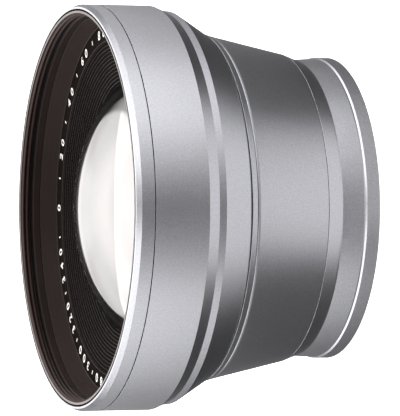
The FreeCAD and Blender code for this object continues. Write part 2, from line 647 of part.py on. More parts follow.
shim = turned("rear_cell_shim", [
    (D.shim_inner, D.rear_web_top), (D.shim_outer, D.rear_web_top),
    (D.shim_outer, D.rear_flange_rear), (D.shim_inner, D.rear_flange_rear)])
bored(shim, "shim_holes", D.rear_screw_circle,
      hole_section(D.rear_screw_circle, D.rear_screw_hole, D.rear_web_top - 0.5,
                   D.rear_flange_rear + 0.5), 3)
parts.append(shim)

parts.append(lens("third_lens_element",
                  (D.third_rear_vertex, D.third_rear_curve, D.third_rear_clear, True),
                  [(D.rear_glass_edge, "rear"), (D.rear_glass_edge, "front")],
                  (D.third_front_vertex, D.third_front_curve, D.third_front_clear, False)))
parts.append(turned("rear_spacer_ring", [
    (D.spacer_inner, D.spacer_rear), (D.rear_glass_edge, D.spacer_rear),
    (D.rear_glass_edge, D.spacer_front), (D.spacer_inner, D.spacer_front)]))
parts.append(lens("rear_lens_element",
                  (D.last_rear_vertex, D.last_rear_curve, D.last_rear_clear, True),
                  [(D.rear_glass_edge, "rear")],
                  (D.last_front_vertex, D.last_front_curve, D.rear_glass_edge, True)))

k = D.rear_retainer_bevel
rear_retainer = turned("rear_retaining_ring", [
    (D.rear_retainer_inner, D.rear_retainer_front), (D.rear_retainer_inner, D.rear_retainer_rear + k),
    (D.rear_retainer_inner + k, D.rear_retainer_rear), (D.rear_retainer_outer, D.rear_retainer_rear),
    (D.rear_retainer_outer, D.rear_retainer_front)])
slotted(rear_retainer, "rear_spanner_slots", D.rear_retainer_rear, D.rear_retainer_outer + 1.0,
        D.spanner_slot * 0.5, D.rear_slot_depth, True)
parts.append(rear_retainer)

# ---------------------------------------------------------------- screws
t = D.tip_bevel


def pan_screw(c, seat, head, height, shank, length):
    return [(c, seat - length), (c + shank - t, seat - length), (c + shank, seat - length + t),
            (c + shank, seat), (c + head, seat), (c + head, seat + height * 0.55),
            (c + head - 0.30, seat + height * 0.90), (c + head - 0.65, seat + height),
            (c, seat + height)]


parts.append(screws("front_cell_screws", D.front_screw_circle, pan_screw(
    D.front_screw_circle, D.front_flange_top, D.front_screw_head, D.front_screw_head_height,
    D.front_screw_shank, D.front_screw_length),
    D.front_flange_top + D.front_screw_head_height, False, 3))
parts.append(screws("rear_cell_screws", D.rear_screw_circle, pan_screw(
    D.rear_screw_circle, D.rear_flange_front, D.rear_screw_head, D.rear_screw_head_height,
    D.rear_screw_shank, D.rear_screw_length),
    D.rear_flange_front + D.rear_screw_head_height, False, 3))
top = D.mount_shoulder + D.mount_screw_flush
parts.append(screws("mount_ring_screws", c, [
    (c, top), (c + D.mount_screw_head, top), (c + D.mount_screw_shank, top + D.mount_screw_head_height),
    (c + D.mount_screw_shank, D.mount_screw_end - t), (c + D.mount_screw_shank - t, D.mount_screw_end),
    (c, D.mount_screw_end)], top, True, 4, 45.0))

# ---------------------------------------------------------------- test and write
doc.recompute()
for obj in doc.Objects:
    if "Invalid" in obj.State or "Error" in obj.State:
        raise RuntimeError("%s failed: %s" % (obj.Name, obj.State))
for body in parts:
    shape = body.Shape
    if shape.isNull() or not shape.isValid() or shape.Volume <= 0 or not shape.Solids:
        raise RuntimeError(body.Label + " has no valid shape")

os.makedirs("parts", exist_ok=True)
for body in parts:
    body.Shape.exportStep("parts/%s.step" % body.Label)
    box = body.Shape.BoundBox
    print("%-22s solids %d  volume %9.1f mm3  r %.2f  z %.2f..%.2f" % (
        body.Label, len(body.Shape.Solids), body.Shape.Volume, box.XMax, box.ZMin, box.ZMax))
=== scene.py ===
import math

import bpy
import numpy as np
from mathutils import Matrix, Vector
from mathutils.geometry import delaunay_2d_cdt

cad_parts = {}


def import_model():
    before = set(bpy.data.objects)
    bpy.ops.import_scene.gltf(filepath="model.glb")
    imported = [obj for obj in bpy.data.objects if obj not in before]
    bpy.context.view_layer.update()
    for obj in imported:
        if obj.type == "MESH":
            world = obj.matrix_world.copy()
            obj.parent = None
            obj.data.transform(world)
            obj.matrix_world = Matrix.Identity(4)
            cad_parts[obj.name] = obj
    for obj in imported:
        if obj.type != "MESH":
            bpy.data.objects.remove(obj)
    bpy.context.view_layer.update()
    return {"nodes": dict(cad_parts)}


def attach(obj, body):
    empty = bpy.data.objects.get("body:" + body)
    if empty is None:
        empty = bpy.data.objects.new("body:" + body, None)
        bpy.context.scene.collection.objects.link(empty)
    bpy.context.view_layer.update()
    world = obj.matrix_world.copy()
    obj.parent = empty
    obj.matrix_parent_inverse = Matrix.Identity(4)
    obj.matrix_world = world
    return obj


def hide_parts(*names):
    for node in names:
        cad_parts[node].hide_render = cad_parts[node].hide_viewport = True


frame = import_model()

nodes = frame["nodes"]
MM = 0.001
AROUND = 360  # columns of every turned mesh, one a degree
PITCH = 0.75  # of both fine threads, mm


# ---------------------------------------------------------------------------
# Turned meshes. A section is a list of (r, z, fillet) in millimetres, and each
# row of vertices keeps the exact normal of the surface before and after it.
# ---------------------------------------------------------------------------

def unit(v):
    return v / max(np.linalg.norm(v), 1e-12)


def section_rows(section, closed=True, steps=4):
    """Rows (r, z, normal before, normal after) of a section whose corners are rounded."""
    pts = [np.array(p[:2], float) for p in section]
    fil = [p[2] if len(p) > 2 else 0.0 for p in section]
    n = len(pts)
    area = 0.0
    for i in range(n):
        a, b = pts[i], pts[(i + 1) % n]
        area += a[0] * b[1] - b[0] * a[1]
    side = 1.0 if area > 0 else -1.0
    count = n if closed else n - 1
    along = [unit(pts[(i + 1) % n] - pts[i]) for i in range(count)]
    out = [side * np.array((d[1], -d[0])) for d in along]
    length = [np.linalg.norm(pts[(i + 1) % n] - pts[i]) for i in range(count)]
    rows = []
    for i in range(n):
        if not closed and i in (0, n - 1):
            k = 0 if i == 0 else count - 1
            rows.append((pts[i][0], pts[i][1], out[k], out[k]))
            continue
        before, after = (i - 1) % count, i % count
        d0, d1, n0, n1 = along[before], along[after], out[before], out[after]
        turn = math.atan2(d0[0] * d1[1] - d0[1] * d1[0], float(d0 @ d1))
        if fil[i] <= 0 or abs(turn) < 1e-3:
            rows.append((pts[i][0], pts[i][1], n0, n1))
            continue
        radius = fil[i]
        cut = radius * math.tan(abs(turn) / 2)
        most = 0.42 * min(length[before], length[after])
        if cut > most:
            radius *= most / cut
            cut = most
        start = pts[i] - d0 * cut
        sign = 1.0 if turn > 0 else -1.0
        centre = start + sign * radius * np.array((-d0[1], d0[0]))
        arm = start - centre
        for k in range(steps + 1):
            a = turn * k / steps
            c, s = math.cos(a), math.sin(a)
            p = centre + np.array((c * arm[0] - s * arm[1], s * arm[0] + c * arm[1]))
            m = np.array((c * n0[0] - s * n0[1], s * n0[0] + c * n0[1]))
            rows.append((p[0], p[1], m, m))
    return rows


TURN = 2 * math.pi * np.arange(AROUND) / AROUND
COS, SIN = np.cos(TURN), np.sin(TURN)


class Builder:
    """Collects vertices, faces, corner normals and slots, and makes one mesh of them."""

    def __init__(self):
        self.v = np.zeros((0, 3))
        self.sets = []  # (faces, corner normals, slot), each set with one number of corners

    def points(self, xyz):
        first = len(self.v)
        self.v = np.vstack([self.v, np.asarray(xyz, float)])
        return np.arange(first, len(self.v))

    def ring(self, r, z, cos=COS, sin=SIN, centre=(0.0, 0.0)):
        """One row of vertices. r and z are one value, or one for each column."""
        r, z = np.broadcast_to(r, cos.shape), np.broadcast_to(z, cos.shape)
        return self.points(np.stack([centre[0] + r * cos, centre[1] + r * sin, z], 1))

    def faces(self, ids, normals, slot):
        """Faces whose corners are the rows of ids, turned to face the way of their normals.
        A corner that repeats the one before it is left out."""
        ids, normals = np.array(ids), np.array(normals, float)
        a, b, c = (self.v[ids[:, k]] for k in (0, 1, 2))
        flat = np.cross(b - a, c - a)
        if ids.shape[1] == 4:
            flat = flat + np.cross(c - a, self.v[ids[:, 3]] - a)
        wrong = (flat * normals.sum(1)).sum(1) < 0
        ids[wrong], normals[wrong] = ids[wrong][:, ::-1], normals[wrong][:, ::-1]
        keep = ids != np.roll(ids, 1, axis=1)
        count = keep.sum(1)
        for n in (3, 4):
            rows = count == n
            if rows.any():
                k = keep[rows]
                self.sets.append((ids[rows][k].reshape(-1, n),
                                  normals[rows][k].reshape(-1, n, 3), slot))

    def strip(self, low, high, n_low, n_high, slot, cos=COS, sin=SIN):
        """Faces between two rows of vertices; n_low and n_high are (r, z) normals."""
        first, second = spin(n_low, cos, sin), spin(n_high, cos, sin)
        ids = np.stack([low, np.roll(low, -1), np.roll(high, -1), high], 1)
        self.faces(ids, np.stack([first, np.roll(first, -1, 0), np.roll(second, -1, 0), second], 1),
                   slot)

    def cap(self, row, z, normal, slot, centre=(0.0, 0.0)):
        """Closes a row of vertices with a fan to its middle."""
        middle = np.full(len(row), self.points([(centre[0], centre[1], z)])[0])
        ids = np.stack([row, np.roll(row, -1), middle], 1)
        self.faces(ids, np.broadcast_to(normal, (len(row), 3, 3)), slot)

    def rows(self, rows, slot_of, closed=True, first=None, last=None):
        rings = [self.ring(r, z) for r, z, _, _ in rows]
        if first is not None:
            rings[0] = first
        if last is not None:
            rings[-1] = last
        for i in range(len(rows) if closed else len(rows) - 1):
            j = (i + 1) % len(rows)
            r, z = (rows[i][0] + rows[j][0]) / 2, (rows[i][1] + rows[j][1]) / 2
            if abs(rows[i][0] - rows[j][0]) + abs(rows[i][1] - rows[j][1]) < 1e-6:
                continue
            self.strip(rings[i], rings[j], rows[i][3], rows[j][2],
                       slot_of(r, z, (rows[i][3] + rows[j][2]) / 2))
        return rings

    def make(self, name, materials):
        used, flat = np.unique(np.concatenate([f.ravel() for f, _, _ in self.sets]),
                               return_inverse=True)
        sizes = np.concatenate([np.full(len(f), f.shape[1]) for f, _, _ in self.sets])
        slots = np.concatenate([np.full(len(f), slot) for f, _, slot in self.sets])
        starts = np.concatenate([[0], np.cumsum(sizes)[:-1]])
        mesh = bpy.data.meshes.new(name)
        mesh.vertices.add(len(used))
        mesh.vertices.foreach_set("co", (self.v[used] * MM).astype(np.float32).ravel())
        mesh.loops.add(len(flat))
        mesh.loops.foreach_set("vertex_index", flat.astype(np.int32))
        mesh.polygons.add(len(sizes))
        mesh.polygons.foreach_set("loop_start", starts.astype(np.int32))
        mesh.polygons.foreach_set("loop_total", sizes.astype(np.int32))
        for m in materials:
            mesh.materials.append(m)
        mesh.polygons.foreach_set("material_index", slots.astype(np.int32))
        mesh.polygons.foreach_set("use_smooth", np.ones(len(sizes), bool))
        mesh.update(calc_edges=True)
        normals = np.concatenate([n.reshape(-1, 3) for _, n, _ in self.sets])
        mesh.normals_split_custom_set(normals.tolist())
        ob = bpy.data.objects.new(name, mesh)
        bpy.context.scene.collection.objects.link(ob)
        return ob


def spin(n, cos, sin):
    """An (r, z) normal, or a row of them, turned to every column."""
    n = np.asarray(n, float)
    r, z = (n[..., 0], n[..., 1])
    return np.stack([r * cos, r * sin, np.broadcast_to(z, cos.shape)], 1)


def one_slot(r, z, n):
    return 0


# A female thread on a 60 degree form: flat crest a quarter pitch wide, flat root an eighth.
CREST, FLANK, ROOT = 0.25, 0.3125, 0.125
STEPS = [0.0, CREST / 2, CREST, CREST + FLANK / 2, CREST + FLANK,
         CREST + FLANK + ROOT, CREST + 1.5 * FLANK + ROOT]


def thread_radius(phase, crest, root):
    return np.interp(phase % 1.0, [0.0, CREST, CREST + FLANK, CREST + FLANK + ROOT, 1.0],
                     [crest, crest, root, root, crest])


def thread(build, low, high, crest, root, mouth, slot):
    """The helical wall between the levels low and high. mouth(z) is the radius of the
    chamfer at the mouth, which the groove runs out into. Returns the two end rows."""
    columns = np.arange(AROUND + 1)

    def shape(z, j):
        return np.maximum(thread_radius((z - low) / PITCH - j / AROUND, crest, root), mouth(z))

    def end_row(z):
        flat = np.full(AROUND, z)
        return build.ring(shape(flat, columns[:-1]), flat)

    bottom, top = end_row(low), end_row(high)
    turns = int(math.ceil((high - low) / PITCH)) + 1
    levels = [t + s for t in range(-2, turns + 1) for s in STEPS]
    known = {}

    def helix(level):
        """Vertices and heights of one edge of the thread over a turn, held between the ends."""
        key = round(level, 6)
        if key not in known:
            z = low + PITCH * (level + columns[:-1] / AROUND)
            ids = build.ring(shape(z, columns[:-1]), z)
            under, over = z <= low + 0.004, z >= high - 0.004
            known[key] = (np.where(under, bottom, np.where(over, top, ids)), np.clip(z, low, high))
        return known[key]

    def whole_turn(level):
        ids, z = helix(level)
        more, z_more = helix(level + 1.0)
        return np.append(ids, more[0]), np.append(z, z_more[0])

    for one, two in zip(levels[:-1], levels[1:]):
        a, za = whole_turn(one)
        d, zd = whole_turn(two)
        radius_a = np.hypot(build.v[a][:, 0], build.v[a][:, 1])
        radius_d = np.hypot(build.v[d][:, 0], build.v[d][:, 1])
        dz = build.v[d][:, 2] - build.v[a][:, 2]
        known_slope = np.abs(dz) > 1e-5
        slope = np.where(known_slope, (radius_d - radius_a) / np.where(known_slope, dz, 1.0), 0.0)
        # where an edge has run into an end, the column beside it gives the slope
        for k in np.nonzero(~known_slope)[0]:
            near = [m for m in (k - 1, k + 1) if 0 <= m <= AROUND and known_slope[m]]
            if near:
                slope[k] = slope[near[0]]
        n = np.stack([-np.ones(AROUND + 1), slope], 1)
        n /= np.linalg.norm(n, axis=1)[:, None]
        cos, sin = np.append(COS, COS[0]), np.append(SIN, SIN[0])
        full = spin(n, cos, sin)
        ids = np.stack([a[:-1], a[1:], d[1:], d[:-1]], 1)
        normals = np.stack([full[:-1], full[1:], full[1:], full[:-1]], 1)
        real = np.maximum(zd[:-1], zd[1:]) - np.minimum(za[:-1], za[1:]) > 1e-9
        build.faces(ids[real], normals[real], slot)
    return bottom, top


# ---------------------------------------------------------------------------
# Materials
# ---------------------------------------------------------------------------

class Nodes:
    """Short calls for building one material's node tree."""

    def __init__(self, name):
        self.material = bpy.data.materials.new(name)
        self.material.use_nodes = True
        self.tree = self.material.node_tree
        self.shader = self.tree.nodes["Principled BSDF"]
        place = self.tree.nodes.new("ShaderNodeTexCoord")
        self.place = place.outputs["Object"]

    def link(self, a, b):
        self.tree.links.new(a, b)

    def set(self, **values):
        for name, value in values.items():
            self.shader.inputs[name.replace("_", " ")].default_value = value

    def noise(self, scale, detail=2.0, rough=0.5, where=None, stretch=None):
        n = self.tree.nodes.new("ShaderNodeTexNoise")
        n.inputs["Scale"].default_value = scale
        n.inputs["Detail"].default_value = detail
        n.inputs["Roughness"].default_value = rough
        source = where or self.place
        if stretch:
            m = self.tree.nodes.new("ShaderNodeMapping")
            m.inputs["Scale"].default_value = stretch
            self.link(source, m.inputs["Vector"])
            source = m.outputs["Vector"]
        self.link(source, n.inputs["Vector"])
        return n.outputs["Fac"]

    def turned(self):
        """(distance from the axis, 0, height): what a lathe tool leaves varies only with these."""
        flat = self.tree.nodes.new("ShaderNodeVectorMath")
        flat.operation = "MULTIPLY"
        flat.inputs[1].default_value = (1, 1, 0)
        self.link(self.place, flat.inputs[0])
        far = self.tree.nodes.new("ShaderNodeVectorMath")
        far.operation = "LENGTH"
        self.link(flat.outputs["Vector"], far.inputs[0])
        parts = self.tree.nodes.new("ShaderNodeSeparateXYZ")
        self.link(self.place, parts.inputs[0])
        both = self.tree.nodes.new("ShaderNodeCombineXYZ")
        self.link(far.outputs["Value"], both.inputs["X"])
        self.link(parts.outputs["Z"], both.inputs["Z"])
        return both.outputs["Vector"]

    def span(self, fac, low, high, from_low=0.3, from_high=0.7):
        m = self.tree.nodes.new("ShaderNodeMapRange")
        m.inputs["From Min"].default_value = from_low
        m.inputs["From Max"].default_value = from_high
        m.inputs["To Min"].default_value = low
        m.inputs["To Max"].default_value = high
        self.link(fac, m.inputs["Value"])
        return m.outputs["Result"]

    def math(self, operation, a, b):
        m = self.tree.nodes.new("ShaderNodeMath")
        m.operation = operation
        for k, x in enumerate((a, b)):
            if isinstance(x, (int, float)):
                m.inputs[k].default_value = x
            else:
                self.link(x, m.inputs[k])
        return m.outputs["Value"]

    def colours(self, fac, stops):
        ramp = self.tree.nodes.new("ShaderNodeValToRGB")
        band = ramp.color_ramp
        while len(band.elements) < len(stops):
            band.elements.new(0.5)
        for e, (at, rgb) in zip(band.elements, stops):
            e.position = at
            e.color = (*rgb, 1.0)
        self.link(fac, ramp.inputs["Fac"])
        return ramp.outputs["Color"]

    def bump(self, height, strength, distance, before=None):
        b = self.tree.nodes.new("ShaderNodeBump")
        b.inputs["Strength"].default_value = strength
        b.inputs["Distance"].default_value = distance
        self.link(height, b.inputs["Height"])
        if before is not None:
            self.link(before, b.inputs["Normal"])
        return b.outputs["Normal"]

    def to(self, socket, value):
        self.link(value, self.shader.inputs[socket])


def silver_material(name, shade):
    """Bead-blasted, clear anodised aluminium: a satin metal with a fine grain."""
    k = Nodes(name)
    k.set(Metallic=1.0)
    grain = k.noise(4200.0, 1.5, 0.6)
    cloud = k.noise(55.0, 3.0, 0.5)
    mixed = k.math("ADD", k.math("MULTIPLY", grain, 0.82), k.math("MULTIPLY", cloud, 0.18))
    stops = [(0.33, (0.588, 0.589, 0.630)), (0.50, (0.653, 0.654, 0.696)), (0.66, (0.728, 0.729, 0.771))]
    # a shade below 1 makes a darker copy of the same metal, which is painted shade
    k.to("Base Color", k.colours(mixed, [(at, tuple(shade * v for v in rgb)) for at, rgb in stops]))
    k.to("Roughness", k.math("ADD", k.span(cloud, 0.315, 0.345), k.span(grain, -0.03, 0.03)))
    k.to("Normal", k.bump(k.noise(7000.0, 1.0, 0.5), 0.22, 0.00002))
    return k.material


def black_material(name, dark, light, rough, turned_marks=0.35, grain=0.15, gloss=0.18):
    """Black anodised aluminium with the fine rings that turning leaves."""
    k = Nodes(name)
    k.set(Metallic=0.0, IOR=1.5, Specular_IOR_Level=gloss)
    marks = k.noise(5200.0, 2.0, 0.6, where=k.turned())
    dust = k.noise(900.0, 3.0, 0.6)
    cloud = k.noise(70.0, 2.0, 0.5)
    mixed = k.math("ADD", k.math("MULTIPLY", marks, 0.5), k.math("MULTIPLY", cloud, 0.5))
    k.to("Base Color", k.colours(mixed, [(0.3, dark), (0.7, light)]))
    k.to("Roughness", k.math("ADD", k.span(dust, rough - 0.05, rough + 0.05),
                             k.span(marks, -0.03, 0.03)))
    first = k.bump(marks, turned_marks, 0.00001)
    k.to("Normal", k.bump(k.noise(6000.0, 1.0, 0.5), grain, 0.00001, before=first))
    return k.material


def glass_material(name, ior, tint, film=0.0):
    """Polished optical glass with a faint bloom of dust, and a coating film if it has one."""
    k = Nodes(name)
    k.set(Metallic=0.0, IOR=ior, Transmission_Weight=1.0)
    if film:
        k.set(Thin_Film_Thickness=film, Thin_Film_IOR=1.38)
    bloom = k.noise(160.0, 4.0, 0.65)
    k.to("Base Color", k.colours(bloom, [(0.3, tint), (0.7, tuple(min(1.0, c + 0.02) for c in tint))]))
    k.to("Roughness", k.span(bloom, 0.0, 0.012, 0.45, 0.8))
    return k.material


def coated_glass_material(name, ior, tint):
    """Front glass: a clear polished coat over a deep glass that swallows what is behind it."""
    k = Nodes(name)
    k.set(Metallic=0.0, IOR=1.06, Transmission_Weight=1.0, Coat_Weight=1.0, Coat_IOR=ior)
    bloom = k.noise(160.0, 4.0, 0.65)
    k.to("Base Color", k.colours(bloom, [(0.3, tint), (0.7, tuple(c * 1.3 for c in tint))]))
    k.to("Roughness", k.span(bloom, 0.29, 0.32))
    k.to("Coat Roughness", k.span(bloom, 0.0, 0.012, 0.45, 0.8))
    return k.material


def paint_material():
    """White paint that fills the engraved numerals."""
    k = Nodes("numeral_paint")
    k.set(Metallic=0.0)
    fleck = k.noise(5000.0, 2.0, 0.6)
    k.to("Base Color", k.colours(fleck, [(0.3, (0.80, 0.78, 0.74)), (0.7, (0.92, 0.90, 0.86))]))
    k.to("Roughness", k.span(fleck, 0.5, 0.7))
    k.to("Normal", k.bump(fleck, 0.2, 0.00001))
    return k.material


def metal_material(name, low, high, rough):
    k = Nodes(name)
    k.set(Metallic=1.0)
    brush = k.noise(3800.0, 2.0, 0.6)
    cloud = k.noise(240.0, 2.0, 0.5)
    k.to("Base Color", k.colours(cloud, [(0.3, low), (0.7, high)]))
    k.to("Roughness", k.math("ADD", k.span(cloud, rough - 0.04, rough + 0.04), k.span(brush, -0.03, 0.03)))
    k.to("Normal", k.bump(brush, 0.25, 0.00001))
    return k.material


SILVER = silver_material("silver_satin", 1.0)
# darker copy of the satin silver: painted shade that dims the highlight on the front chamfer and flat rim
CHAMFER_PAINTED_SHADE = silver_material("silver_chamfer_painted_shade", 0.72)
# much darker copy of the satin silver: painted shadow in the joint in front of the bead and on the groove wall behind
# it
GROOVE_PAINTED_SHADOW = silver_material("silver_groove_painted_shadow", 0.24)
# darker copy of the satin silver: painted shade that dims the bright lines on the forward-facing groove wall behind
# the bead and on the rear chamfer
LINE_PAINTED_SHADE = silver_material("silver_line_painted_shade", 0.55)
BLACK = black_material("black_satin", (0.0175, 0.0112, 0.0096), (0.0265, 0.0175, 0.0155), 0.46)
THREAD = black_material("black_thread", (0.0260, 0.0150, 0.0125), (0.0380, 0.0230, 0.0200), 0.50, gloss=0.12)
# lighter copy of the black for the sleeve's flat top face: its light base colour is painted sheen, its higher gloss
# gives the real reflection
RIM_FACE_PAINTED_SHEEN = black_material("black_rim_face_painted_sheen", (0.1000, 0.0900, 0.0840), (0.1350, 0.1200, 0.1120), 0.42, gloss=0.40)
# darker copy of the black for the flat annulus down in the name ring: painted shade
FLAT_PAINTED_SHADE = black_material("black_flat_painted_shade", (0.0058, 0.0040, 0.0036), (0.0090, 0.0064, 0.0060), 0.62, gloss=0.01)
# darker copy of the black for the grooves between the ribs and the middle of the chamfer above them: painted shade
RIB_PAINTED_SHADE = black_material("black_rib", (0.0050, 0.0040, 0.0037), (0.0085, 0.0068, 0.0063), 0.60, gloss=0.02)
# lighter copy of the black for the upper part of each rib: painted highlight along the crests
RIB_PAINTED_HIGHLIGHT = black_material("black_rib_painted_highlight", (0.0500, 0.0430, 0.0400), (0.0680, 0.0600, 0.0560), 0.45, gloss=0.15)
JOINT = black_material("black_joint", (0.0020, 0.0018, 0.0018), (0.0032, 0.0029, 0.0028), 0.70, gloss=0.0)
MATT = black_material("black_matt_deep", (0.0050, 0.0047, 0.0045), (0.0095, 0.0088, 0.0084), 0.68,
                      turned_marks=0.5, grain=0.3)
EDGE = black_material("lens_edge_black", (0.0045, 0.0045, 0.0045), (0.0085, 0.0085, 0.0085), 0.72,
                      turned_marks=0.1, grain=0.4)
FRONT_GLASS = coated_glass_material("glass_front", 1.52, (0.022, 0.025, 0.024))
INNER_GLASS = glass_material("glass_inner", 1.60, (0.965, 0.970, 0.965))
REAR_GLASS = glass_material("glass_rear", 1.62, (0.955, 0.965, 0.962), film=105.0)
PAINT = paint_material()
SCREW = metal_material("screw_black_steel", (0.030, 0.030, 0.031), (0.062, 0.060, 0.060), 0.38)
BRASS = metal_material("shim_brass", (0.62, 0.47, 0.20), (0.74, 0.58, 0.28), 0.34)


# ---------------------------------------------------------------------------
# The turned pieces that show, with real edge breaks and threads
# ---------------------------------------------------------------------------

def stand_for(ob, slot_name, *names):
    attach(ob, "root")
    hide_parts(*names)
    return ob


def front_ring():
    """Silver front ring; black only where the sleeve and the joint hide it."""
    b = Builder()
    section = [(34.15, 43.25), (34.15, 45.70), (34.20, 45.74), (34.20, 46.08, 0.01),
               (34.55, 46.08, 0.04), (35.0, 45.19, 0.07), (35.0, 42.97, 0.02),
               (34.70, 42.97), (34.70, 42.88), (34.20, 42.88, 0.03), (34.20, 40.40, 0.1),
               (33.45, 40.40, 0.1), (33.45, 42.46), (33.75, 42.46), (33.75, 43.25)]

    def slot(r, z, n):
        if r < 34.205 and z < 46.075:
            return 1
        if z < 42.965 or (n[1] < -0.9 and r < 34.97):
            return 3
        # the front chamfer and flat rim take the darker silver of slot 2: painted shade over their highlight
        return 2 if z > 45.22 else 0

    b.rows(section_rows(section), slot)
    return stand_for(b.make("filter_ring", [SILVER, BLACK, CHAMFER_PAINTED_SHADE, JOINT]), "silver_anodised", "front_filter_ring")


def thread_sleeve():
    """Black sleeve inside the front ring: filter thread, relief groove and a smooth land."""
    b = Builder()
    low, high = 44.35, 46.065

    def mouth(z):
        return np.where(np.asarray(z) > 45.69, 33.10 + (np.asarray(z) - 45.69) * 0.40 / 0.38, 0.0)

    bottom, top = thread(b, low, high, 33.10, 33.42, mouth, 1)
    section = [(float(mouth(high)), high), (33.87, 46.07, 0.02), (34.09, 45.85, 0.02), (34.09, 43.25, 0.05),
               (33.70, 43.25), (33.70, 42.50), (33.10, 42.50, 0.05), (33.10, 43.65, 0.04),
               (33.50, 43.80, 0.05), (33.50, 44.35)]

    def slot(r, z, n):
        # slot 2, the flat top face, takes the lighter black: painted sheen
        if n[1] > 0.9 and z > 46.0:
            return 2
        if r > 33.86 and z > 45.8:
            return 4
        return 3 if r > 33.4 and 43.7 < z < 44.5 else 0

    rings = b.rows(section_rows(section, closed=False), slot, closed=False, first=top)
    b.strip(rings[-1], bottom, (0.0, -1.0), (0.0, -1.0), 3)
    return stand_for(b.make("thread_sleeve", [BLACK, THREAD, RIM_FACE_PAINTED_SHEEN, MATT, JOINT]), "black_anodised",
                     "front_thread_sleeve")


def main_barrel():
    b = Builder()
    section = [(30.45, 24.61, 0.02), (30.72, 24.82, 0.06), (34.13, 30.24, 0.10), (34.13, 31.49, 0.05),
               (35.0, 33.48, 0.14), (35.0, 42.79, 0.02), (34.70, 42.79), (34.70, 42.88),
               (34.25, 42.88, 0.03),
               (34.25, 40.20, 0.1), (33.45, 40.20, 0.1), (33.45, 38.40, 0.1), (32.2, 38.4, 0.1),
               (32.2, 33.2, 0.1), (25.3, 33.2, 0.1), (25.3, 31.0, 0.1), (31.8, 31.0, 0.1),
               (31.8, 30.2, 0.1), (29.25, 28.6, 0.2), (29.25, 24.61, 0.1)]

    def slot(r, z, n):
        if (r < 34.97 and z > 42.77) and (n[1] > 0.9 or r < 34.75):
            return 2
        return 1 if (r < 30.4 and z > 24.63) or (z > 38.0 and r < 34.97 and (n[1] > 0.9 or n[0] < 0.5)) \
            or (r < 33.4 and z > 30.25 and n[0] < 0.5) else 0

    b.rows(section_rows(section), slot)
    return stand_for(b.make("barrel_front", [SILVER, BLACK, JOINT]), "silver_anodised", "main_barrel")


def rear_barrel():
    b = Builder()
    section = [(19.70, 9.51, 0.1), (26.80, 9.51), (26.80, 9.56), (27.06, 9.56, 0.03), (30.01, 22.80, 0.15),
               (30.03, 23.12, 0.06), (29.90, 23.31, 0.02), (30.20, 23.40, 0.04), (30.42, 24.33, 0.05),
               (30.22, 24.50, 0.02), (30.22, 24.61, 0.01), (29.20, 24.61, 0.03), (29.20, 28.10, 0.1),
               (28.0, 28.10, 0.1), (28.0, 23.5, 0.3), (25.5, 12.0, 0.3), (19.7, 12.0, 0.1)]

    def slot(r, z, n):
        if 26.7 < r < 27.05 and z < 9.57:
            return 2
        # slot 4, the forward-facing groove wall behind the bead, takes the dimmed silver: painted shade over its
        # bright line
        if 23.12 < z < 23.31 and r > 29.8 and n[1] > 0.3:
            return 4
        # slot 3, the joint in front of the bead and the rear-facing groove wall behind it, takes the much darker
        # silver: painted shadow
        if (r > 29.5 and z > 24.38) or (23.28 < z < 23.38 and 29.8 < r < 30.23):
            return 3
        return 1 if (r < 28.6 and z > 9.6 and n[0] < 0.2) or (r < 27.0 and z < 9.57) else 0

    b.rows(section_rows(section), slot)
    return stand_for(b.make("barrel_rear", [SILVER, BLACK, JOINT, GROOVE_PAINTED_SHADOW, LINE_PAINTED_SHADE]), "silver_anodised",
                     "rear_barrel")


